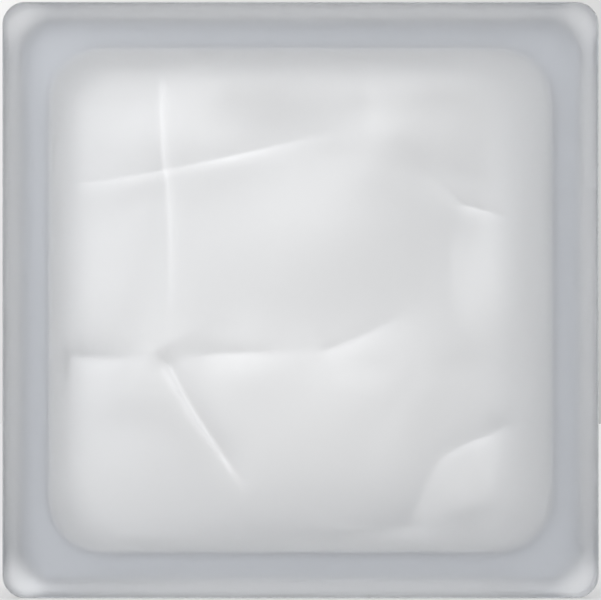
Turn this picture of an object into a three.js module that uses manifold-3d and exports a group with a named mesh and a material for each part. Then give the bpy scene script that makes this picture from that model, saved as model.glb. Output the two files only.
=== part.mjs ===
// A hollow pressed glass block for walls, standing on its lower edge with its front pane towards -Y.
// It is two like half shells of glass, pressed open at the back and fused rim to rim in the middle
// of the block, so that they shut in a flat square hollow. The panes are smooth outside. Inside they
// carry a cloudy relief of pillows and creases. The four edges are drawn in between the panes, as a
// key for the mortar. Millimetres, +Z up, origin on the floor under the middle of the block.

import * as THREE from 'three';
import { mergeVertices } from 'three/addons/utils/BufferGeometryUtils.js';
import Module from 'manifold-3d';

const wasm = await Module();
wasm.setup();

// ---------------------------------------------------------------- sizes of the block
const WIDTH = 190;
const HEIGHT = 190;
const DEPTH = 80;

// ---------------------------------------------------------------- outside of a half shell
const FACE_CORNER_RADIUS = 7.3; // corners of the pane, seen from the front
const FACE_EDGE_RADIUS = 2; // rounding from the pane into the land
const LAND_WIDTH = 10; // flat strip round each pane, which the block stands on
const SHOULDER_WIDTH = 5; // slope from the land down into the key
const KEY_DEPTH = 6; // how far the key lies below the lands
const KEY_CORNER_RADIUS = 10;
const BEAD_HEIGHT = 0.9; // bead of glass that the fusing squeezes out, above the key
const BEAD_WIDTH = 3.6;

// ---------------------------------------------------------------- inside of a half shell
const PANE_THICKNESS = 8; // between the creases
const RIM_THICKNESS = 7.6; // side wall where the halves meet
const WALL_DRAFT = 2; // degrees that the walls lean in towards the pane, for the plunger
const HOLLOW_FILLET_RADIUS = 3.5; // between wall and pane
const CLEAR_PANE_CORNER_RADIUS = 14; // the walls' own corners are rounder by fillet and draft

// ---------------------------------------------------------------- cloudy relief of the pane
// Places are shares of the clear pane: (0, 0) is its middle and (1, 1) its top right corner, seen
// from outside. All else is millimetres, and what rises stands into the hollow.
//
// A crease is a ridge where two dished fields of the mould meet. Going along its course, the flank on
// the right falls away over `front` and dips below the pane by the share `dip` of the rise, and the
// flank on the left falls away over `back`. It swells up and dies out over the two lengths in `ends`.
const CREASES = [
  // upright, at the left
  {
    rise: 0.5, front: 1.3, back: 9, dip: 0.3, ends: [32, 3],
    course: [
      [-0.55, -0.185], [-0.55, 0.165], [-0.56, 0.415],
      [-0.57, 0.53], [-0.585, 0.705], [-0.59, 1.055],
    ],
  },
  // rising gently, from the left edge
  {
    rise: 0.45, front: 1.5, back: 10, dip: 0.1, ends: [3, 9],
    course: [
      [-1.065, 0.475], [-0.71, 0.515], [-0.55, 0.545],
      [-0.215, 0.615], [0.2, 0.71], [0.325, 0.72],
    ],
  },
  // falling, to the right edge
  {
    rise: 0.4, front: 2.2, back: 8.5, dip: 0.1, ends: [4, 16],
    course: [
      [1.095, 0.25], [0.925, 0.325], [0.74, 0.385],
      [0.64, 0.435], [0.47, 0.615], [0.35, 0.71],
    ],
  },
  // level, right across
  {
    rise: 0.36, front: 3.4, back: 13, dip: 0.1, ends: [3, 14],
    course: [
      [-1.065, -0.23], [-0.685, -0.23], [-0.375, -0.215],
      [0.12, -0.205], [0.285, -0.13], [0.41, -0.065],
    ],
  },
  // level step at the left edge
  {
    rise: 1.4, front: 6.8, back: 3, dip: 0, ends: [3, 22],
    course: [[-1.09, -0.235], [-0.615, -0.245]],
  },
  // level step in the middle
  {
    rise: 1.3, front: 8, back: 3.5, dip: 0, ends: [14, 20],
    course: [[-0.505, -0.23], [-0.3, -0.22], [-0.01, -0.22]],
  },
  // step that climbs away to the right
  {
    rise: 0.8, front: 8, back: 8.5, dip: 0, ends: [8, 20],
    course: [[0.06, -0.225], [0.17, -0.18], [0.275, -0.135], [0.395, -0.075], [0.52, -0.02]],
  },
  // slanting, at the lower left
  {
    rise: 0.8, front: 2.6, back: 6, dip: 0.4, ends: [30, 8],
    course: [
      [-0.17, -1.01], [-0.295, -0.71], [-0.375, -0.59],
      [-0.48, -0.445], [-0.54, -0.36], [-0.605, -0.25],
    ],
  },
  // round the lower right corner
  {
    rise: 1.3, front: 4, back: 6.5, dip: 0, ends: [3, 5],
    course: [
      [0.4, -1.06], [0.47, -0.905], [0.555, -0.685],
      [0.605, -0.625], [0.735, -0.565], [1.065, -0.48],
    ],
  },
  // upright, at the right
  {
    rise: 0.5, front: 7.6, back: 6, dip: 0, ends: [24, 14],
    course: [
      [0.875, -0.445], [0.78, -0.255], [0.695, -0.13],
      [0.63, 0.035], [0.615, 0.24], [0.64, 0.425],
    ],
  },
  // upright, at the top
  {
    rise: 0.8, front: 9.3, back: 9.5, dip: 0, ends: [9, 3],
    course: [[0.31, 0.655], [0.275, 0.84], [0.26, 1.045]],
  },
];
const DIP_REACH = 8; // over which the dip beside a crease rises again
// Dishes and pillows of the fields: how far each stands up in its middle, and its reach each way.
const PILLOWS = [
  { at: [0.21, 0.18], reach: [30, 22], height: -2 },
  { at: [-0.66, 0.785], reach: [26, 15], height: 2 },
  { at: [-0.23, 0.88], reach: [13, 12], height: -1 },
  { at: [0.52, 0.795], reach: [17, 18], height: -1.1 },
  { at: [0.85, 0.035], reach: [13, 20], height: -1.8 },
  { at: [0.735, -0.815], reach: [11, 10], height: -1.8 },
  { at: [-0.205, -0.28], reach: [12, 14], height: -1 },
  { at: [0.47, -0.42], reach: [30, 26], height: -2.2 },
  { at: [0.21, -0.605], reach: [33, 30], height: -2.2 },
  { at: [-0.685, -0.735], reach: [18, 19], height: 1.4 },
];
// Swells: the same, for the thickening of the pane at its edges. They run on over the fillet.
const SWELLS = [
  { at: [1.07, -0.33], reach: [24, 90], height: 3.2 },
  { at: [-0.01, -1.035], reach: [110, 20], height: 3.2 },
  { at: [1.1, 0.7], reach: [25, 30], height: 1.5 },
];
const RELIEF_MARGIN = 4; // creases and pillows run out over this distance from the fillet

// ---------------------------------------------------------------- fineness of the facets
const CORNER_STEPS = 4; // steps of an outside corner's arc, doubled by three.js
const PROFILE_STEPS = 3; // steps of a rounding in the outside's section
const FILLET_STEPS = 2; // the same for the hollow
const RELIEF_STEPS = 46; // cells across the pane
const COURSE_STEPS = 40; // straight pieces that a crease's course is measured by
const DRAW = 0.6; // share by which the cells on a crease are narrowed
const DRAW_REACH = 8; // distance from a crease over which they are drawn towards it
const OVERCUT = 1; // the hollow's solid runs this far past the rim, to cut it open

// ---------------------------------------------------------------- derived places
const halfDepth = DEPTH / 2;
const keyHalfWidth = halfDepth - FACE_EDGE_RADIUS - LAND_WIDTH - SHOULDER_WIDTH;
const landStart = keyHalfWidth + SHOULDER_WIDTH;
const landEnd = landStart + LAND_WIDTH;
const paneInside = halfDepth - PANE_THICKNESS;
const draftSlope = Math.tan(THREE.MathUtils.degToRad(WALL_DRAFT));
const rimInset = KEY_DEPTH + RIM_THICKNESS;

const glass = new THREE.MeshStandardMaterial({ color: 0xc9d2d6, roughness: 0.45, metalness: 0 });

// A closed geometry without seams, as a solid that can be joined and cut.
function solidOf(geometry) {
  const bare = geometry.clone();
  bare.deleteAttribute('normal');
  bare.deleteAttribute('uv');
  const merged = mergeVertices(bare);
  return new wasm.Manifold(new wasm.Mesh({
    numProp: 3,
    vertProperties: new Float32Array(merged.attributes.position.array),
    triVerts: new Uint32Array(merged.index.array),
  }));
}

// A solid's surface, as a geometry for a mesh.
function geometryOf(solid) {
  const mesh = solid.getMesh();
  const geometry = new THREE.BufferGeometry();
  geometry.setAttribute('position', new THREE.BufferAttribute(mesh.vertProperties, mesh.numProp));
  geometry.setIndex(new THREE.BufferAttribute(mesh.triVerts, 1));
  geometry.computeVertexNormals();
  return geometry;
}

// The block's front outline, drawn in by inset all round, with round corners.
function roundedOutline(inset, radius) {
  const right = WIDTH / 2 - inset;
  const top = HEIGHT / 2 - inset;
  const outline = new THREE.Shape();
  outline.moveTo(right, radius - top);
  outline.lineTo(right, top - radius);
  outline.absarc(right - radius, top - radius, radius, 0, Math.PI / 2, false);
  outline.absarc(radius - right, top - radius, radius, Math.PI / 2, Math.PI, false);
  outline.absarc(radius - right, radius - top, radius, Math.PI, Math.PI * 1.5, false);
  outline.absarc(right - radius, radius - top, radius, Math.PI * 1.5, Math.PI * 2, false);
  return outline.getPoints(CORNER_STEPS);
}

// A solid skinned over like outlines at rising heights, and closed flat at both ends.
function loft(sections) {
  const count = sections[0].outline.length - 1; // the last point repeats the first
  const positions = [];
  for (const { outline, z } of sections) {
    for (let i = 0; i < count; i++) {
      positions.push(outline[i].x, outline[i].y, z);
    }
  }
  const triangles = [];
  for (let ring = 0; ring < sections.length - 1; ring++) {
    for (let i = 0; i < count; i++) {
      const low = ring * count + i;
      const lowNext = ring * count + (i + 1) % count;
      triangles.push(low, lowNext, lowNext + count, low, lowNext + count, low + count);
    }
  }
  const topRing = (sections.length - 1) * count;
  for (const [a, b, c] of THREE.ShapeUtils.triangulateShape(sections[0].outline.slice(0, count), [])) {
    triangles.push(a, c, b);
    triangles.push(topRing + a, topRing + b, topRing + c);
  }
  const geometry = new THREE.BufferGeometry();
  geometry.setAttribute('position', new THREE.Float32BufferAttribute(positions, 3));
  geometry.setIndex(triangles);
  return geometry;
}

// The outside of a half shell: bead, key, shoulder, land and rounded edge, carried round the block.
// In the section, x is the inset from the outline and y the distance from the seam.
function outsideOfHalf() {
  const section = new THREE.Path();
  section.moveTo(KEY_DEPTH - BEAD_HEIGHT, 0);
  section.absellipse(KEY_DEPTH, 0, BEAD_HEIGHT, BEAD_WIDTH / 2, Math.PI, Math.PI / 2, true);
  section.lineTo(KEY_DEPTH, keyHalfWidth);
  section.bezierCurveTo(
    KEY_DEPTH, keyHalfWidth + SHOULDER_WIDTH / 2,
    0, keyHalfWidth + SHOULDER_WIDTH / 2,
    0, landStart,
  );
  section.lineTo(0, landEnd);
  section.absarc(FACE_EDGE_RADIUS, landEnd, FACE_EDGE_RADIUS, Math.PI, Math.PI / 2, true);
  const cornerAt = (inset, z) => (z > landEnd
    ? FACE_CORNER_RADIUS - inset
    : THREE.MathUtils.mapLinear(inset, 0, KEY_DEPTH, FACE_CORNER_RADIUS, KEY_CORNER_RADIUS));
  return loft(section.getPoints(PROFILE_STEPS).map(({ x: inset, y: z }) => (
    { outline: roundedOutline(inset, cornerAt(inset, z)), z })));
}

// Moves a point of a plain rectangle into the same rectangle with round corners.
function intoRoundCorners(x, y, halfWidth, halfHeight, radius) {
  const p = (Math.abs(x) - halfWidth + radius) / radius;
  const q = (Math.abs(y) - halfHeight + radius) / radius;
  if (p <= 0 || q <= 0) {
    return [x, y];
  }
  return [
    Math.sign(x) * (halfWidth - radius + radius * p * Math.sqrt(1 - q * q / 2)),
    Math.sign(y) * (halfHeight - radius + radius * q * Math.sqrt(1 - p * p / 2)),
  ];
}

// A crease's course laid out on a pane of these half sizes, as short straight pieces.
function laidOut({ course, ...crease }, halfWidth, halfHeight) {
  const curve = new THREE.SplineCurve(course.map(([u, v]) => (
    new THREE.Vector2(u * halfWidth, v * halfHeight))));
  const points = curve.getSpacedPoints(COURSE_STEPS).map(({ x, y }) => new THREE.Vector3(x, y, 0));
  const pieces = points.slice(1).map((end, i) => new THREE.Line3(points[i], end));
  return { ...crease, pieces, length: curve.getLength() };
}

// From the nearest foot on a crease to a point: the way there, how far it is, whether it leads to
// the right of the course, and the share of its full height that the crease has at the foot.
function besideCrease({ pieces, length, ends }, point) {
  const nearest = { distance: Infinity };
  const foot = new THREE.Vector3();
  const delta = new THREE.Vector3();
  pieces.forEach((piece, i) => {
    const t = piece.closestPointToPointParameter(point, true);
    const distance = piece.at(t, foot).distanceTo(point);
    if (distance < nearest.distance) {
      const way = point.clone().sub(foot);
      const onRight = piece.delta(delta).cross(way).z < 0;
      Object.assign(nearest, { distance, way, onRight, along: (i + t) / pieces.length * length });
    }
  });
  const shown = THREE.MathUtils.smoothstep(nearest.along, 0, ends[0])
    * THREE.MathUtils.smoothstep(length - nearest.along, 0, ends[1]);
  return { ...nearest, shown };
}

// A pillow's height at a point: full in its middle, and dying out as a bell curve each way.
function pillowHeight({ at, reach, height }, point, halfWidth, halfHeight) {
  const across = (point.x - at[0] * halfWidth) / reach[0];
  const up = (point.y - at[1] * halfHeight) / reach[1];
  return height * Math.exp(-across * across - up * up);
}

// How much of the creases and pillows there is at a point, which is none beside the fillet.
function withinMargin(point, halfWidth, halfHeight) {
  const fromEdge = Math.min(halfWidth - Math.abs(point.x), halfHeight - Math.abs(point.y));
  return THREE.MathUtils.smoothstep(fromEdge, 0, RELIEF_MARGIN);
}

// Draws a corner of the pane's cells towards the creases, so that small cells lie on their flanks.
function drawnIn(point, creases, halfWidth, halfHeight) {
  const moved = point.clone();
  const within = withinMargin(point, halfWidth, halfHeight);
  for (const crease of creases) {
    const { way, distance, shown } = besideCrease(crease, moved);
    const pull = DRAW * Math.exp(-((distance / DRAW_REACH) ** 2)) * shown * within;
    moved.addScaledVector(way, -pull);
  }
  return moved;
}

// How high the relief stands at a point on a pane of these half sizes.
function reliefHeight(point, creases, halfWidth, halfHeight) {
  let height = 0;
  for (const pillow of PILLOWS) {
    height += pillowHeight(pillow, point, halfWidth, halfHeight);
  }
  for (const crease of creases) {
    const { distance, onRight, shown } = besideCrease(crease, point);
    const { rise, front, back, dip } = crease;
    const share = onRight
      ? (1 + dip) * Math.exp(-distance / front) - dip * Math.exp(-distance / DIP_REACH)
      : Math.exp(-distance / back);
    height += rise * share * shown;
  }
  height *= withinMargin(point, halfWidth, halfHeight);
  for (const swell of SWELLS) {
    height += pillowHeight(swell, point, halfWidth, halfHeight);
  }
  return height;
}

// The hollow in a half shell: a box whose cells are moved on to the drafted walls, the fillet and
// the relief of the pane. It starts below the seam, so that cutting it out leaves the rim open.
function hollowOfHalf() {
  const wallEnd = paneInside - HOLLOW_FILLET_RADIUS;
  const insetAt = (z) => rimInset + z * draftSlope;
  const section = new THREE.Path();
  section.moveTo(insetAt(-OVERCUT), -OVERCUT);
  section.lineTo(insetAt(wallEnd), wallEnd);
  section.absarc(
    insetAt(wallEnd) + HOLLOW_FILLET_RADIUS, wallEnd,
    HOLLOW_FILLET_RADIUS, Math.PI, Math.PI / 2, true,
  );
  const steps = section.getPoints(FILLET_STEPS);
  const last = steps.length - 1;
  const clearWidth = WIDTH / 2 - steps[last].x;
  const clearHeight = HEIGHT / 2 - steps[last].x;
  const creases = CREASES.map((crease) => laidOut(crease, clearWidth, clearHeight));

  const box = new THREE.BoxGeometry(2, 2, last, RELIEF_STEPS, RELIEF_STEPS, last);
  const corners = box.attributes.position;
  for (let i = 0; i < corners.count; i++) {
    const step = Math.round(corners.getZ(i) + last / 2);
    const { x: inset, y: z } = steps[step];
    const halfWidth = WIDTH / 2 - inset;
    const halfHeight = HEIGHT / 2 - inset;
    const radius = CLEAR_PANE_CORNER_RADIUS + steps[last].x - inset;
    const [x, y] = intoRoundCorners(
      corners.getX(i) * halfWidth, corners.getY(i) * halfHeight, halfWidth, halfHeight, radius);
    const flat = new THREE.Vector3(x, y, 0);
    const place = step === last ? drawnIn(flat, creases, clearWidth, clearHeight) : flat;
    const onPane = new THREE.Vector3(
      THREE.MathUtils.clamp(place.x, -clearWidth, clearWidth),
      THREE.MathUtils.clamp(place.y, -clearHeight, clearHeight), 0);
    const overFillet = THREE.MathUtils.smoothstep(z, wallEnd, paneInside);
    const relief = overFillet * reliefHeight(onPane, creases, clearWidth, clearHeight);
    corners.setXYZ(i, place.x, place.y, z - relief);
  }
  return box;
}

const halfShell = geometryOf(solidOf(outsideOfHalf()).subtract(solidOf(hollowOfHalf())));

// A half shell is drawn with its seam down and its pane up. Here it is stood on its lower edge.
function placedHalf(name, turn) {
  const half = new THREE.Mesh(halfShell, glass.clone());
  half.name = name;
  half.rotation.x = Math.PI / 2;
  const place = new THREE.Group();
  place.rotation.z = turn;
  place.position.z = HEIGHT / 2;
  place.add(half);
  return place;
}

const block = new THREE.Group();
block.add(placedHalf('front_half', 0));
block.add(placedHalf('rear_half', Math.PI));

export default block;
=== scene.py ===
"""A satin glass block with a cloudy relief: its looks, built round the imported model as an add-on.

The block is two like half shells of pressed glass, fused rim to rim, so it is made here as one body
of glass: a closed outer skin and the closed skin of the hollow inside it.
"""

import bpy
import numpy as np
from bpy.props import FloatProperty, FloatVectorProperty, PointerProperty
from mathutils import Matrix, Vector


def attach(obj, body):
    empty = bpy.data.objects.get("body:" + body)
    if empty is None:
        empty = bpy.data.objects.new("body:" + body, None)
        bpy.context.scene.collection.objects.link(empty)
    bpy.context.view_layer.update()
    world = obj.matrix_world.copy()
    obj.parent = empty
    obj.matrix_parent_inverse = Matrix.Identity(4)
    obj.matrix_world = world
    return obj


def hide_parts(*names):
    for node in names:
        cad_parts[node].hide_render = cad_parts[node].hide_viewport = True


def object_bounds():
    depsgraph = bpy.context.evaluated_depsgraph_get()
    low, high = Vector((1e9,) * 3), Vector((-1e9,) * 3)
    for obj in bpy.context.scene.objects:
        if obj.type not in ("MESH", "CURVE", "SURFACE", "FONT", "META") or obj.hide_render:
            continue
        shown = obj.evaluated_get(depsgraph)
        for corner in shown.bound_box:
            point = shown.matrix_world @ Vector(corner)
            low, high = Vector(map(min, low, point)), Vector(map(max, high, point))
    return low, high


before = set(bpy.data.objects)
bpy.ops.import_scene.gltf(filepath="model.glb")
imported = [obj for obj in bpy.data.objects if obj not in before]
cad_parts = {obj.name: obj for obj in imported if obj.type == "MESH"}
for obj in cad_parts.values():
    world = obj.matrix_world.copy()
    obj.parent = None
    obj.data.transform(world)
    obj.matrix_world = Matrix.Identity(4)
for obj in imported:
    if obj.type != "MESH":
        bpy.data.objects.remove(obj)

bl_info = {
    "name": "Glass Block",
    "version": (1, 0, 0),
    "blender": (4, 5, 0),
    "location": "3D View > Sidebar > Glass Block",
    "description": "A fused hollow glass block with a cloudy relief, and a pale studio round it",
    "category": "Add Mesh",
}

CAD_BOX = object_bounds()
BLOCK_SIZE = CAD_BOX[1] - CAD_BOX[0]
MM = 0.001

# ------------------------------------------------------------------ the relief inside the panes
# Places are shares of the clear pane: (0, 0) is its middle and (1, 1) its top right corner, seen
# from outside. Heights and reaches are millimetres, and a height stands into the hollow.
#
# A crease is a ridge where two dished fields of the mould meet. Going along its course, the flank
# on the right falls away over `front` and dips below the pane by `dip` of the rise, and the flank
# on the left falls away over `back`. It swells up and dies out over the two lengths of `ends`.
CREASES = (
    # the upright line at the left
    dict(rise=0.37, front=1.4, back=9.0, dip=0.3, ends=(32, 3),
         course=((-0.55, -0.185), (-0.55, 0.165), (-0.56, 0.415), (-0.57, 0.53), (-0.585, 0.705),
                 (-0.59, 1.055))),
    # the line that rises across the upper part
    dict(rise=0.45, front=1.5, back=10.0, dip=0.1, ends=(3, 50),
         course=((-1.065, 0.475), (-0.835, 0.495), (-0.71, 0.515), (-0.55, 0.545),
                 (-0.215, 0.615), (0.2, 0.71), (0.325, 0.72))),
    # its soft continuation, which falls to the right edge
    dict(rise=0.6, front=3.3, back=8.5, dip=0.1, ends=(4, 16),
         course=((1.095, 0.25), (0.925, 0.325), (0.74, 0.385), (0.64, 0.435), (0.47, 0.615),
                 (0.35, 0.71))),
    # the thin line beside the end of that
    dict(rise=0.23, front=1.6, back=4.0, dip=0.0, ends=(8, 3),
         course=((0.602, 0.403), (0.722, 0.386), (0.826, 0.353), (0.930, 0.320), (1.096, 0.257))),
    # the level line across the middle, and the broad flanks under its three parts
    dict(rise=0.2, front=3.4, back=13.0, dip=0.1, ends=(3, 14),
         course=((-1.065, -0.23), (-0.685, -0.23), (-0.375, -0.215), (0.12, -0.205),
                 (0.285, -0.13), (0.41, -0.065))),
    dict(rise=2.8, front=12.0, back=5.0, dip=0.0, ends=(3, 22),
         course=((-1.09, -0.235), (-0.615, -0.245))),
    dict(rise=1.8, front=14.0, back=3.5, dip=0.0, ends=(14, 20),
         course=((-0.505, -0.23), (-0.3, -0.22), (-0.01, -0.22))),
    dict(rise=0.75, front=8.0, back=8.5, dip=0.0, ends=(8, 20),
         course=((0.06, -0.225), (0.17, -0.18), (0.275, -0.135), (0.395, -0.075), (0.52, -0.02))),
    # the slanting line below the middle, steep on its lower left
    dict(rise=2.4, front=2.0, back=7.0, dip=0.0, ends=(8, 17),
         course=((-0.589, -0.191), (-0.519, -0.315), (-0.457, -0.432), (-0.365, -0.573),
                 (-0.286, -0.693), (-0.249, -0.756), (-0.220, -0.826))),
    # the line that cuts off the lower right corner
    dict(rise=2.9, front=8.5, back=9.0, dip=0.0, ends=(3, 5),
         course=((0.4, -1.06), (0.47, -0.905), (0.555, -0.685), (0.605, -0.625), (0.735, -0.565),
                 (1.065, -0.48))),
    # the long bow beside the right edge
    dict(rise=0.5, front=7.6, back=6.0, dip=0.0, ends=(10, 14),
         course=((0.875, -0.445), (0.78, -0.255), (0.695, -0.13), (0.63, 0.035), (0.615, 0.24),
                 (0.64, 0.425))),
    # the short one at the upper edge
    dict(rise=1.0, front=9.0, back=12.0, dip=0.0, ends=(13, 3),
         course=((0.31, 0.655), (0.275, 0.84), (0.26, 1.045))),
)
# Dishes and pillows: how far each stands into the hollow at its middle, and its reach each way.
PILLOWS = (
    dict(at=(0.154, 0.224), reach=(26, 24), height=-1.9),
    dict(at=(-0.627, 0.855), reach=(22, 12), height=1.6),
    dict(at=(-0.224, 0.905), reach=(16, 11), height=-1.5),
    dict(at=(0.556, 0.814), reach=(22, 19), height=-2.2),
    dict(at=(0.361, 0.623), reach=(11, 11), height=-0.9),
    dict(at=(0.834, -0.042), reach=(12, 20), height=-2.2),
    dict(at=(0.731, -0.822), reach=(12, 10), height=-2.2),
    dict(at=(-0.199, -0.249), reach=(11, 12), height=-1.5),
    dict(at=(0.465, -0.448), reach=(31, 31), height=-2.8),
    dict(at=(0.228, -0.573), reach=(35, 31), height=-2.2),
    dict(at=(-0.664, -0.739), reach=(20, 19), height=2.0),
)
# Swells: the same, for the broad thickening of the pane towards its right and lower edges.
SWELLS = (
    dict(at=(1.07, -0.33), reach=(30, 90), height=4.3),
    dict(at=(-0.01, -1.035), reach=(110, 20), height=3.2),
    dict(at=(1.1, 0.7), reach=(32, 34), height=4.2),
)
DIP_REACH = 8.0  # over which the dip beside a crease rises again
CREST_ROUNDING = 0.4  # how far from its course a crest is rounded
RELIEF_MARGIN = 4.0  # the creases and pillows run out over this distance from the fillet
COURSE_PIECES = 48  # straight pieces that a course is measured by
STEEP_FRONT = 2.25  # a front flank shorter than this draws the grid towards its course
DRAW = 0.65  # share of the way to the course that a point of the grid is drawn, at most
DRAW_REACH = 4.5  # how far off the course 37 percent of that share is left

# ------------------------------------------------------------------ the tent
# Ways are directions from the block, about 1 long: x to the right, y to the back and z up. What the
# parts of the tent give is added up, and `bright_sky` multiplies the sum.
TENT_WAY = (-0.85, 0.0, 0.5)  # to the upper left
# How far a way goes along TENT_WAY, and how bright the sheets are there.
TENT = ((-0.68, 0.62), (-0.38, 0.6), (-0.25, 0.2), (-0.17, 0.05), (-0.08, 0.2), (-0.03, 0.46),
        (0.03, 0.6), (0.08, 0.84), (0.17, 0.86), (0.38, 0.58), (0.68, 0.58))
ROOF, ROOF_HEIGHT = 0.27, (0.15, 0.5)  # what the roof adds, growing between these two z
PANEL = 1.05  # what a soft panel adds, high behind the block on the right
PANEL_WAY, PANEL_REACH = (0.26, 0.93, 0.26), 0.38  # the panel's middle and its radius
FRONT = (0.27, -0.3)  # what the front adds, at the left and at the right
FRONT_SIDE = 0.5  # x of those two places, to either side
FRONT_FULL = -0.3  # y from which the front adds all of that
# The window is a square lamp behind the block, to its upper left: metres and watts.
WINDOW_PLACE, WINDOW_SIZE, WINDOW_POWER = (-0.27, 0.42, 0.2), 0.25, 0.133
FLOOR_REACH = 3.0  # metres from the middle of the floor to its sides
FRAME_PIXELS, BLOCK_PIXELS = 601, 596.8  # width of the frame and of the block in it

# ------------------------------------------------------------------ fineness of the skins
# Cells across a face, how many of them lie in each round corner, and what share of the grid's
# parameter the corner takes.
PANE_GRID = (184, 16, 0.18)  # inside, with cells of some 0.8 mm
FACE_GRID = (44, 7, 0.2)  # outside
BEAD_STEPS, SHOULDER_STEPS, EDGE_STEPS, FILLET_STEPS = 5, 8, 6, 7  # along the curves of a section
BESIDE_CURVE, BESIDE_EDGE = 0.4, 0.3  # short steps that keep the flats flat under smooth shading
# The low ridge inside where the rims fused: how far it stands in, and its distance from the seam.
RIDGE = ((0.5, 0.0), (0.38, 0.7), (0.12, 1.4), (0.0, 2.2))

# ------------------------------------------------------------------ the haze of the chilled walls
HAZE_FADE = (16.0, 32.0)  # from the block's edge: it is full up to the first and gone at the second
HAZE_CORNER = 38.0  # its corners are round about points this far from both edges
HAZE_RIGHT = 0.75  # factor on the distance from the right edge, where it reaches further in


# ------------------------------------------------------------------ what a user may change
def length(name, description, millimetres):
    """A length property in metres, whose default is given in millimetres."""
    return FloatProperty(name=name, description=description, default=millimetres * MM,
                         min=0.0, precision=4, unit="LENGTH")


def from_hex(colour):
    """An sRGB colour written as a hex number, as linear red, green and blue.

    A channel from 0 to 1 is divided by 12.92 up to 0.04045, and above that 0.055 is added, the sum
    divided by 1.055 and that raised to the power 2.4.
    """
    channels = np.array([colour >> 16, colour >> 8 & 255, colour & 255]) / 255
    low = channels / 12.92
    return tuple(np.where(channels <= 0.04045, low, ((channels + 0.055) / 1.055) ** 2.4))


class GlassBlockShape(bpy.types.PropertyGroup):
    """Sizes of the block, most of them of its section."""
    face_corner: length("Face corner", "Radius of the pane's corners, seen from the front", 7.3)
    face_edge: length("Face edge", "Rounding from the pane into the land", 2)
    land: length("Land", "Flat strip round each pane, which the block stands on", 10)
    shoulder: length("Shoulder", "Slope from the land down into the key", 5)
    key: length("Key", "How far the mortar key lies below the lands", 6)
    key_corner: length("Key corner", "Radius of the key's corners", 10)
    bead_height: length("Bead height", "Height of the bead that the fusing squeezes out", 0.9)
    bead_width: length("Bead width", "Width of that bead", 3.6)
    pane: length("Pane", "Thickness of each pane between the creases", 8)
    rim: length("Rim", "Thickness of the side walls where the halves meet", 7.6)
    draft: FloatProperty(name="Draft", description="How far the inside of the walls leans in",
                         default=np.radians(2), subtype="ANGLE")
    fillet: length("Fillet", "Rounding between the walls and the panes, inside", 3.5)
    clear_corner: length("Clear corner", "Radius of the clear pane's corners, inside", 14)
    relief: FloatProperty(name="Relief", description="Factor on every height of the relief",
                          default=1.0, min=0.0, max=2.0, subtype="FACTOR")


class GlassBlockFinish(bpy.types.PropertyGroup):
    """Colour and finish of the glass."""
    tint: FloatVectorProperty(name="Tint", description="Colour that thick glass takes up",
                              subtype="COLOR", size=3, default=from_hex(0xA9B2C0))
    depth: FloatProperty(name="Depth of tint", description="Absorption in a metre of glass",
                         default=10.5, min=0.0)
    index: FloatProperty(name="Refractive index", description="Of soda-lime glass",
                         default=1.52, min=1.0, max=2.0)
    etched: FloatProperty(name="Etched skin", description="Roughness of the satin outside",
                          default=0.4, min=0.0, max=1.0, subtype="FACTOR")
    pressed: FloatProperty(name="Pressed pane", description="Roughness of the panes inside",
                           default=0.05, min=0.0, max=1.0, subtype="FACTOR")
    chilled: FloatProperty(name="Chilled wall", description="Roughness of the walls inside",
                           default=1.0, min=0.0, max=1.0, subtype="FACTOR")


class GlassBlockStudio(bpy.types.PropertyGroup):
    """The pale studio round the block."""
    floor: FloatVectorProperty(name="Floor", description="Colour of the floor",
                               subtype="COLOR", size=3, default=from_hex(0xEDEDED))
    bright_sky: FloatProperty(name="Tent", description="Factor on all the light of the tent",
                              default=1.235, min=0.0)
    distance: length("Camera distance", "From the middle of the block to the camera", 2200)


# ------------------------------------------------------------------ surfaces
def spline(points, pieces):
    """Catmull-Rom curve through the points, as pieces + 1 places.

    Between two points it is the cubic whose slope at each end is half the step from the point
    before to the point after. The first and last steps are carried on straight beyond the ends.
    """
    points = np.asarray(points, float)
    ends = 2 * points[[0, -1]] - points[[1, -2]]
    around = np.vstack([ends[:1], points, ends[1:]])
    at = np.linspace(0, len(points) - 1 - 1e-9, pieces + 1)
    first = at.astype(int)
    t = (at - first)[:, None]
    before, here, there, after = (around[first + k] for k in range(4))
    return 0.5 * (2 * here + (there - before) * t
                  + (2 * before - 5 * here + 4 * there - after) * t ** 2
                  + (3 * here - before - 3 * there + after) * t ** 3)


def smooth(t):
    """0 below 0, 1 above 1, and 3t² - 2t³ between."""
    t = np.clip(t, 0, 1)
    return t * t * (3 - 2 * t)


def beside(points, course):
    """From the nearest foot on a course to each point: the way there, its length, positive on the
    course's right, and how far along the course the foot is. Also the course's own length.

    Each straight piece of the course gives a foot, held between its ends.
    """
    steps = course[1:] - course[:-1]
    lengths = np.hypot(*steps.T)
    passed = np.cumsum(lengths) - lengths
    way, along = np.full(points.shape, np.inf), np.zeros(len(points))
    right = np.zeros(len(points))
    for start, step, size, run in zip(course, steps, lengths, passed):
        to_point = points - start
        t = np.clip(to_point @ step / size ** 2, 0, 1)
        from_foot = to_point - t[:, None] * step
        closer = (from_foot ** 2).sum(1) < (way ** 2).sum(1)
        way[closer] = from_foot[closer]
        along[closer] = run + t[closer] * size
        right[closer] = np.sign(to_point @ (step[1], -step[0]))[closer]
    return way, right * np.hypot(*way.T), along, lengths.sum()


def shown(crease, along, whole):
    """How much of a crease there is along its course: the smooth step of the distance from its
    start over the first length of `ends`, times that of the distance to its stop over the second.
    """
    start, stop = crease["ends"]
    return smooth(along / start) * smooth((whole - along) / stop)


def courses(half):
    """Each crease with its course in millimetres."""
    return [(crease, spline(crease["course"], COURSE_PIECES) * half) for crease in CREASES]


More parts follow.
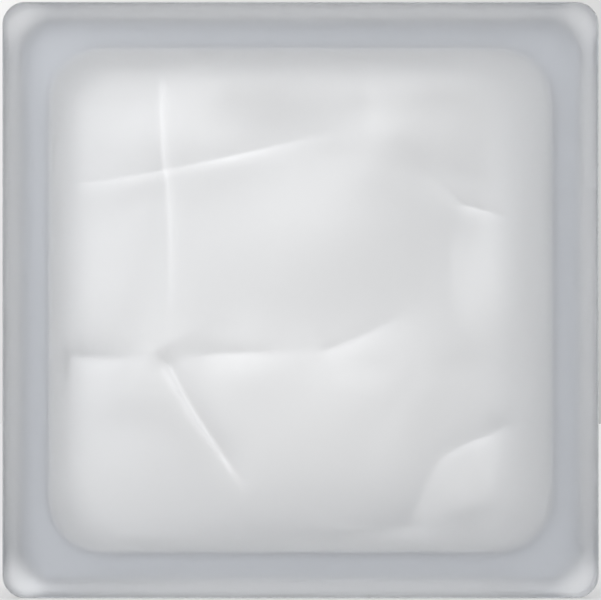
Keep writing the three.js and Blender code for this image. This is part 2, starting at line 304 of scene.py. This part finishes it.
def drawn_in(points, half):
    """The grid's points, drawn towards the steep creases so that enough of them land on the flanks.

    A point at v from the nearest foot of a course moves by -DRAW * v * exp(-(|v| / DRAW_REACH)²).
    """
    moved = points.copy()
    inside = smooth((half - np.abs(points)).min(1) / RELIEF_MARGIN)
    for crease, course in courses(half):
        if crease["front"] < STEEP_FRONT:
            way, offset, along, whole = beside(points, course)
            pull = DRAW * np.exp(-(offset / DRAW_REACH) ** 2) * shown(crease, along, whole) * inside
            moved -= pull[:, None] * way
    return moved


def relief(points, half):
    """Height of the relief at points x, z of a clear pane of this half size, in millimetres.

    A crease is its rise times exp(-d/back) on the left, and times (1 + dip) exp(-d/front)
    - dip exp(-d/DIP_REACH) on the right. d is the distance off the course with its first part
    rounded: sqrt(distance² + CREST_ROUNDING²) - CREST_ROUNDING.
    """
    height = domes(PILLOWS, points, half)
    for crease, course in courses(half):
        way, offset, along, whole = beside(points, course)
        d = np.hypot(offset, CREST_ROUNDING) - CREST_ROUNDING
        dip = crease["dip"]
        right = (1 + dip) * np.exp(-d / crease["front"]) - dip * np.exp(-d / DIP_REACH)
        left = np.exp(-d / crease["back"])
        height += crease["rise"] * shown(crease, along, whole) * np.where(offset > 0, right, left)
    inside = (half - np.abs(points)).min(1)
    return height * smooth(inside / RELIEF_MARGIN) + domes(SWELLS, points, half)


def domes(places, points, half):
    """Sum of height * exp(-(dx/reach)² - (dz/reach)²) over the listed pillows."""
    total = 0
    for dome in places:
        off = (points - dome["at"] * half) / dome["reach"]
        total = total + dome["height"] * np.exp(-(off ** 2).sum(1))
    return total


def grid_lines(cells, corner_cells, corner_share):
    """Parameters of a grid's lines, from -1 to 1: even in the middle, and even in each corner."""
    middle = np.linspace(corner_share - 1, 1 - corner_share, cells - 2 * corner_cells + 1)
    corner = np.linspace(0, corner_share, corner_cells + 1)[1:]
    return np.concatenate([corner_share - 1 - corner[::-1], middle, 1 - corner_share + corner])


def place(s, t, half_width, half_height, radius, corner_share):
    """Where the parameters s and t, from -1 to 1, lie on a rectangle with round corners.

    Up to the corner's share of its range a parameter moves the point in proportion to the straight
    side. Past it, p and q run from 0 to 1 across the corner's square, and the point stands at
    radius * (p sqrt(1 - q²/2), q sqrt(1 - p²/2)) from the corner's centre, so that the border
    becomes an arc.
    """
    straight = 1 - corner_share
    p = np.clip((np.abs(s) - straight) / corner_share, 0, 1)
    q = np.clip((np.abs(t) - straight) / corner_share, 0, 1)
    x = np.sign(s) * (np.minimum(np.abs(s) / straight, 1) * (half_width - radius)
                      + radius * p * np.sqrt(1 - q * q / 2))
    z = np.sign(t) * (np.minimum(np.abs(t) / straight, 1) * (half_height - radius)
                      + radius * q * np.sqrt(1 - p * p / 2))
    return x, z


def closed_skin(grid, half_width, half_height, section, pane=None, raised=None):
    """Points and quads of a closed skin, a section carried round the block and shut by two panes.

    The section's rows are inset, y and corner radius, from the front pane to the rear one. Each row
    makes a ring, and the first and last rows are filled by the grid. pane moves the points of these
    two grids in their plane, and raised gives how far a point is moved along y.
    """
    lines, corner_share = grid_lines(*grid), grid[-1]
    count = len(lines) - 1
    along = np.arange(count)
    i = np.concatenate([along, np.full(count, count), count - along, np.zeros(count, int)])
    j = np.concatenate([np.zeros(count, int), along, np.full(count, count), count - along])
    s, t = np.meshgrid(lines, lines, indexing="ij")
    inset, depth, radius = section[1:-1].T[:, :, None]
    x, z = place(s[i, j], t[i, j], half_width - inset, half_height - inset, radius, corner_share)
    rings = np.stack([x, np.broadcast_to(depth, x.shape), z], -1)
    ends = []
    for inset, depth, radius in section[[0, -1]]:
        x, z = place(s, t, half_width - inset, half_height - inset, radius, corner_share)
        flat = np.stack([x, z], -1).reshape(-1, 2)
        flat = flat if pane is None else pane(flat, depth)
        ends.append(np.insert(flat, 1, depth, axis=1))
    points = np.vstack([ends[0], rings.reshape(-1, 3), ends[1]])
    if raised is not None:
        points[:, 1] += raised(*points.T)

    numbers = np.arange(len(ends[0])).reshape(count + 1, count + 1)
    cells = np.stack([numbers[:-1, :-1], numbers[1:, :-1], numbers[1:, 1:], numbers[:-1, 1:]], -1)
    rear = len(points) - len(ends[1])
    between = len(ends[0]) + np.arange(rings.shape[0] * 4 * count).reshape(-1, 4 * count)
    belts = np.vstack([numbers[i, j], between, numbers[i, j] + rear])
    near, far = belts[:-1], belts[1:]
    strips = np.stack([near, far, np.roll(far, -1, 1), np.roll(near, -1, 1)], -1)
    front = cells.reshape(-1, 4)
    return points, np.vstack([front, front[:, ::-1] + rear, strips.reshape(-1, 4)])


def arc(centre, radii, degrees, steps):
    """Points on an ellipse's arc between two angles, from centre + radii * (cos, sin)."""
    angle = np.radians(np.linspace(*degrees, steps + 1))
    return np.stack([centre[0] + radii[0] * np.cos(angle),
                     centre[1] + radii[1] * np.sin(angle)], -1)


def both_halves(half, radius_of):
    """A section from the front pane to the rear one. half holds one half's rows of inset and
    distance from the seam, and radius_of gives the corners' radius for them."""
    inset = np.concatenate([half[::-1, 0], half[1:, 0]])
    depth = np.concatenate([-half[::-1, 1], half[1:, 1]])
    return np.stack([inset, depth, radius_of(inset, np.abs(depth))], -1)


def outer_section(shape, half_depth):
    """The outside of one half: bead, key, shoulder, land and rounded edge, from seam to pane.

    The bead is a quarter ellipse, the shoulder a cubic Bezier curve with level ends, and the edge a
    quarter circle. On the edge the corners keep their centre, so their radius shrinks by the inset,
    and from the land down into the key it goes over to the key's in proportion to the inset.
    """
    key, edge = shape.key / MM, shape.face_edge / MM
    land_end = half_depth - edge
    land_start = land_end - shape.land / MM
    key_end = land_start - shape.shoulder / MM
    middle = (key_end + land_start) / 2
    bead = arc((key, 0), (-shape.bead_height / MM, shape.bead_width / MM / 2), (0, 90),
               BEAD_STEPS)
    t = np.linspace(0, 1, SHOULDER_STEPS + 1)[:, None]
    shoulder = ((1 - t) ** 3 * (key, key_end) + 3 * (1 - t) ** 2 * t * (key, middle)
                + 3 * (1 - t) * t ** 2 * (0, middle) + t ** 3 * (0, land_start))
    round_edge = arc((edge, land_end), (edge, edge), (180, 90), EDGE_STEPS)
    half = np.vstack([bead, [(key, key_end - BESIDE_CURVE)], shoulder,
                      [(0, land_start + BESIDE_CURVE)], [(0, land_end - BESIDE_EDGE)], round_edge,
                      [(edge + BESIDE_EDGE, half_depth)]])
    corner, key_corner = shape.face_corner / MM, shape.key_corner / MM
    return both_halves(half, lambda inset, depth: np.where(
        depth > land_end, corner - inset, corner + (key_corner - corner) * inset / key))


def inner_section(shape, half_depth):
    """The hollow of one half: a low ridge where the rims fused, the drafted wall and the fillet.

    All its corners have the centre of the clear pane's.
    """
    fillet = shape.fillet / MM
    wall_end = half_depth - shape.pane / MM - fillet
    rim = (shape.key + shape.rim) / MM
    slope = np.tan(shape.draft)
    ridge = np.array(RIDGE)
    ridge[:, 0] += ridge[:, 1] * slope
    wall = rim + wall_end * slope
    rounding = arc((wall + fillet, wall_end), (fillet, fillet), (180, 90), FILLET_STEPS)
    half = np.vstack([ridge + (rim, 0), [(wall - BESIDE_CURVE * slope, wall_end - BESIDE_CURVE)],
                      rounding])
    clear = shape.clear_corner / MM + wall + fillet
    return both_halves(half, lambda inset, depth: clear - inset)


def filled_mesh(name, points, quads):
    """A smooth shaded mesh of these quads, whose points are given in millimetres."""
    mesh = bpy.data.meshes.new(name)
    mesh.vertices.add(len(points))
    mesh.vertices.foreach_set("co", (points * MM).astype(np.float32).ravel())
    mesh.loops.add(quads.size)
    mesh.loops.foreach_set("vertex_index", quads.astype(np.int32).ravel())
    mesh.polygons.add(len(quads))
    mesh.polygons.foreach_set("loop_start", np.arange(0, quads.size, 4, dtype=np.int32))
    mesh.polygons.foreach_set("use_smooth", np.ones(len(quads), bool))
    mesh.update(calc_edges=True)
    return mesh


def point_attribute(mesh, name, values):
    """A number on every point, for a material to read by its name."""
    mesh.attributes.new(name, "FLOAT", "POINT").data.foreach_set("value", values.astype(np.float32))


# ------------------------------------------------------------------ materials
def add_node(tree, kind, settings=None, links=None, **attributes):
    """Adds a node. settings are the values of its sockets, links the outputs that feed them, and
    attributes its own properties."""
    node = tree.nodes.new(kind)
    for name, value in attributes.items():
        setattr(node, name, value)
    for socket, value in (settings or {}).items():
        node.inputs[socket].default_value = value
    for socket, output in (links or {}).items():
        tree.links.new(output, node.inputs[socket])
    return node


def new_tree(block):
    """The emptied node tree of a material or a world."""
    block.use_nodes = True
    block.node_tree.nodes.clear()
    return block.node_tree


def satin_glass(finish):
    """Pressed soda-lime glass, acid etched outside and bright inside.

    To the eye it is white and misty where it is thin, with the creases of the inside drawn softly,
    and grey-blue along the edges, where one looks down the length of the side walls.
    """
    material = bpy.data.materials.new("etched_pressed_glass")
    tree = new_tree(material)
    where = add_node(tree, "ShaderNodeTexCoord").outputs["Object"]
    haze = add_node(tree, "ShaderNodeAttribute", attribute_name="haze").outputs["Fac"]
    etched = add_node(tree, "ShaderNodeAttribute", attribute_name="etched").outputs["Fac"]
    # The acid bites unevenly, in clouds of some 12 mm: 1 / 12 mm is 83 a metre.
    clouds = add_node(tree, "ShaderNodeTexNoise", {"Scale": 83.0, "Detail": 3.0, "Roughness": 0.55},
                      {"Vector": where})
    bite = add_node(tree, "ShaderNodeMapRange", {"To Min": -0.025, "To Max": 0.025},
                    {"Value": clouds.outputs["Fac"]})
    uneven = add_node(tree, "ShaderNodeMath", {}, {0: bite.outputs["Result"], 1: etched, 2: haze},
                      operation="MULTIPLY_ADD")
    # Etched grain is some 0.03 mm across, too fine to show, so it is drawn at 0.4 mm: 2500 a metre.
    grain = add_node(tree, "ShaderNodeTexNoise", {"Scale": 2500.0, "Detail": 1.0},
                     {"Vector": where})
    height = add_node(tree, "ShaderNodeMath", {}, {0: grain.outputs["Fac"], 1: etched},
                      operation="MULTIPLY")
    bump = add_node(tree, "ShaderNodeBump", {"Strength": 0.25, "Distance": 0.00004},
                    {"Height": height.outputs["Value"]})
    skin = add_node(tree, "ShaderNodeBsdfPrincipled",
                    {"Base Color": (1, 1, 1, 1), "Transmission Weight": 1.0, "IOR": finish.index},
                    {"Roughness": uneven.outputs["Value"], "Normal": bump.outputs["Normal"]})
    body = add_node(tree, "ShaderNodeVolumeAbsorption",
                    {"Color": (*finish.tint, 1), "Density": finish.depth})
    add_node(tree, "ShaderNodeOutputMaterial", {},
             {"Surface": skin.outputs["BSDF"], "Volume": body.outputs["Volume"]})
    return material


def pale_floor(colour):
    """Matt white laminate. Half of what a lens or the glass sees of it is its plain colour, so it
    stays pale under the block and still shows the block's shadow."""
    material = bpy.data.materials.new("matt_white_laminate")
    tree = new_tree(material)
    where = add_node(tree, "ShaderNodeTexCoord").outputs["Object"]
    # A faint unevenness of the lacquer, some 30 mm across: 33 a metre.
    cloud = add_node(tree, "ShaderNodeTexNoise", {"Scale": 33.0, "Detail": 2.0}, {"Vector": where})
    sheen = add_node(tree, "ShaderNodeMapRange", {"To Min": 0.75, "To Max": 0.85},
                     {"Value": cloud.outputs["Fac"]})
    matt = add_node(tree, "ShaderNodeBsdfPrincipled",
                    {"Base Color": (*colour, 1), "Specular IOR Level": 0.1},
                    {"Roughness": sheen.outputs["Result"]})
    glow = add_node(tree, "ShaderNodeEmission", {"Color": (*colour, 1), "Strength": 0.85})
    path = add_node(tree, "ShaderNodeLightPath").outputs
    seen = path["Is Camera Ray"]
    for kind in ("Is Glossy Ray", "Is Transmission Ray"):
        seen = add_node(tree, "ShaderNodeMath", {}, {0: seen, 1: path[kind]},
                        operation="MAXIMUM").outputs[0]
    half = add_node(tree, "ShaderNodeMath", {1: 0.5}, {0: seen}, operation="MULTIPLY")
    mixed = add_node(tree, "ShaderNodeMixShader", {},
                     {0: half.outputs[0], 1: matt.outputs["BSDF"], 2: glow.outputs["Emission"]})
    add_node(tree, "ShaderNodeOutputMaterial", {}, {"Surface": mixed.outputs[0]})
    return material


# ------------------------------------------------------------------ operators
class GLASSBLOCK_OT_fused_shells(bpy.types.Operator):
    """Makes the two fused half shells as one body of glass round its hollow"""
    bl_idname = "glassblock.fused_shells"
    bl_label = "Fused half shells"

    def execute(self, context):
        """Makes both skins, and marks each point with what the material reads.

        The walls' haze is the smooth step of (gone - distance) / (gone - full). The distance is
        that from the nearest edge of the block, and in its corners HAZE_CORNER less the distance
        from the corner's centre.
        """
        shape, finish = context.scene.glass_block_shape, context.scene.glass_block_finish
        width, depth, height = BLOCK_SIZE / MM
        half = (width / 2, height / 2)
        outer = outer_section(shape, depth / 2)
        inner = inner_section(shape, depth / 2)
        clear = np.array(half) - inner[0, 0]
        pane_inside = depth / 2 - shape.pane / MM

        def pane(points, y):
            """The grid of one pane, drawn in. The rear one is the front one turned half round."""
            turn = (np.sign(-y), 1)
            return drawn_in(points * turn, clear) * turn

        def raised(x, y, z):
            """The relief on both panes, fading along the fillets."""
            onto_pane = smooth((np.abs(y) - pane_inside) / (shape.fillet / MM) + 1)
            side = np.sign(-y)
            points = np.clip(np.stack([side * x, z], -1), -clear, clear)
            return side * shape.relief * onto_pane * relief(points, clear)

        outside, outside_quads = closed_skin(FACE_GRID, *half, outer)
        inside, inside_quads = closed_skin(PANE_GRID, *half, inner, pane, raised)
        points = np.vstack([outside, inside]) + (0, 0, half[1])
        quads = np.vstack([outside_quads, inside_quads[:, ::-1] + len(outside)])
        mesh = filled_mesh("fused_shells", points, quads)

        etched = np.arange(len(points)) < len(outside)
        away = half - np.abs(inside[:, ::2])
        away[inside[:, 0] * -np.sign(inside[:, 1]) > 0, 0] *= HAZE_RIGHT
        reach = np.clip(HAZE_CORNER - away, 0, None)
        full, gone = HAZE_FADE
        wall = smooth((gone - HAZE_CORNER + np.hypot(*reach.T)) / (gone - full))
        haze = np.where(etched, finish.etched, 0.0)
        haze[len(outside):] = finish.pressed + wall * (finish.chilled - finish.pressed)
        point_attribute(mesh, "etched", etched)
        point_attribute(mesh, "haze", haze)
        mesh.materials.append(satin_glass(finish))
        block = bpy.data.objects.new("fused_shells", mesh)
        context.scene.collection.objects.link(block)
        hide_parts("front_half", "rear_half")
        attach(block, "root")
        return {"FINISHED"}


class GLASSBLOCK_OT_studio(bpy.types.Operator):
    """Makes the floor, the soft light and the camera"""
    bl_idname = "glassblock.studio"
    bl_label = "Pale studio"

    def execute(self, context):
        """Makes the parts of the studio, one after the other."""
        studio = context.scene.glass_block_studio
        middle = Vector((0, 0, BLOCK_SIZE.z / 2))
        self.floor(context, studio)
        self.sky(context, studio)
        self.window(context, middle)
        self.camera(context, studio, middle)
        return {"FINISHED"}

    def floor(self, context, studio):
        """A square floor, level with the underside of the block."""
        corners = np.array([(-1, -1, 0), (1, -1, 0), (1, 1, 0), (-1, 1, 0)]) * FLOOR_REACH / MM
        mesh = filled_mesh("floor", corners, np.array([[0, 1, 2, 3]]))
        mesh.materials.append(pale_floor(studio.floor))
        floor = bpy.data.objects.new("floor", mesh)
        context.scene.collection.objects.link(floor)

    def sky(self, context, studio):
        """A white tent of sheets side by side, whose brightness changes along TENT_WAY, with a pale
        roof, a soft panel high behind on the right, and a front that is paler at the left."""
        world = bpy.data.worlds.new("white_tent")
        context.scene.world = world
        tree = new_tree(world)
        way = add_node(tree, "ShaderNodeTexCoord").outputs["Generated"]
        towards = add_node(tree, "ShaderNodeVectorMath", {1: TENT_WAY}, {0: way},
                           operation="DOT_PRODUCT")
        share = add_node(tree, "ShaderNodeMapRange", {"From Min": -1.0, "From Max": 1.0},
                         {"Value": towards.outputs["Value"]})
        ramp = add_node(tree, "ShaderNodeValToRGB", {}, {"Fac": share.outputs["Result"]})
        ramp.color_ramp.interpolation = "EASE"
        stops = ramp.color_ramp.elements
        for toward, level in TENT:
            stops.new((toward + 1) / 2).color = (level, level, level, 1)
        stops[0].color, stops[len(stops) - 1].color = stops[1].color, stops[len(stops) - 2].color
        axes = add_node(tree, "ShaderNodeSeparateXYZ", {}, {"Vector": way}).outputs
        roof = add_node(tree, "ShaderNodeMapRange",
                        {"From Min": ROOF_HEIGHT[0], "From Max": ROOF_HEIGHT[1], "To Max": ROOF},
                        {"Value": axes["Z"]}, interpolation_type="SMOOTHSTEP")
        off_panel = add_node(tree, "ShaderNodeVectorMath", {1: PANEL_WAY}, {0: way},
                             operation="DISTANCE")
        panel = add_node(tree, "ShaderNodeMapRange",
                         {"From Min": PANEL_REACH, "From Max": 0.0, "To Max": PANEL},
                         {"Value": off_panel.outputs["Value"]}, interpolation_type="SMOOTHSTEP")
        side = add_node(tree, "ShaderNodeMapRange",
                        {"From Min": -FRONT_SIDE, "From Max": FRONT_SIDE,
                         "To Min": FRONT[0], "To Max": FRONT[1]}, {"Value": axes["X"]})
        ahead = add_node(tree, "ShaderNodeMapRange", {"From Min": 0.0, "From Max": FRONT_FULL},
                         {"Value": axes["Y"]}, interpolation_type="SMOOTHSTEP")
        front = add_node(tree, "ShaderNodeMath", {},
                         {0: side.outputs["Result"], 1: ahead.outputs["Result"]},
                         operation="MULTIPLY")
        total = ramp.outputs["Color"]
        for part in (roof.outputs["Result"], panel.outputs["Result"], front.outputs[0]):
            total = add_node(tree, "ShaderNodeMath", {}, {0: total, 1: part},
                             operation="ADD").outputs[0]
        strength = add_node(tree, "ShaderNodeMath", {1: studio.bright_sky}, {0: total},
                            operation="MULTIPLY")
        light = add_node(tree, "ShaderNodeBackground", {"Color": (1, 1, 1, 1)},
                         {"Strength": strength.outputs[0]})
        add_node(tree, "ShaderNodeOutputWorld", {}, {"Surface": light.outputs["Background"]})

    def window(self, context, middle):
        """A soft square light behind the block, to its upper left."""
        lamp = bpy.data.lights.new("soft_window", "AREA")
        lamp.size, lamp.energy = WINDOW_SIZE, WINDOW_POWER
        window = bpy.data.objects.new("soft_window", lamp)
        context.scene.collection.objects.link(window)
        window.location = WINDOW_PLACE
        window.rotation_euler = (middle - window.location).to_track_quat("-Z", "Y").to_euler()
        window.visible_camera = False

    def camera(self, context, studio, middle):
        """Straight before the front pane, which all but fills the frame's width.

        The lens is the sensor's width times the block's share of the frame, times the distance to
        the front pane over the block's width.
        """
        lens = bpy.data.cameras.new("camera")
        camera = bpy.data.objects.new("camera", lens)
        context.scene.collection.objects.link(camera)
        camera.location = middle - Vector((0, studio.distance, 0))
        camera.rotation_euler = (np.pi / 2, 0, 0)
        lens.sensor_width = 36
        to_pane = studio.distance - BLOCK_SIZE.y / 2
        lens.lens = lens.sensor_width * BLOCK_PIXELS / FRAME_PIXELS * to_pane / BLOCK_SIZE.x
        lens.clip_end = 50
        context.scene.camera = camera
        context.scene.view_settings.view_transform = "Standard"


class GLASSBLOCK_PT_panel(bpy.types.Panel):
    """Sizes, finishes and steps of the glass block"""
    bl_idname = "GLASSBLOCK_PT_panel"
    bl_label = "Glass Block"
    bl_space_type = "VIEW_3D"
    bl_region_type = "UI"
    bl_category = "Glass Block"

    def draw(self, context):
        """Lists each step's settings above its button."""
        for operator, name in STEPS:
            column = self.layout.column(align=True)
            for group in name.split():
                settings = getattr(context.scene, group)
                for key in settings.__annotations__:
                    column.prop(settings, key)
            column.operator(operator.bl_idname)


STEPS = ((GLASSBLOCK_OT_fused_shells, "glass_block_shape glass_block_finish"),
         (GLASSBLOCK_OT_studio, "glass_block_studio"))
GROUPS = {"glass_block_shape": GlassBlockShape, "glass_block_finish": GlassBlockFinish,
          "glass_block_studio": GlassBlockStudio}
CLASSES = (*GROUPS.values(), *(operator for operator, _ in STEPS), GLASSBLOCK_PT_panel)


def register():
    """Adds the classes and hangs each group of settings on the scene."""
    for cls in CLASSES:
        bpy.utils.register_class(cls)
    for name, group in GROUPS.items():
        setattr(bpy.types.Scene, name, PointerProperty(type=group))


def unregister():
    """Takes away what register added."""
    for name in GROUPS:
        delattr(bpy.types.Scene, name)
    for cls in reversed(CLASSES):
        bpy.utils.unregister_class(cls)


def main():
    """Registers the add-on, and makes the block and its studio."""
    register()
    bpy.ops.glassblock.fused_shells()
    bpy.ops.glassblock.studio()


if __name__ == "__main__":
    main()
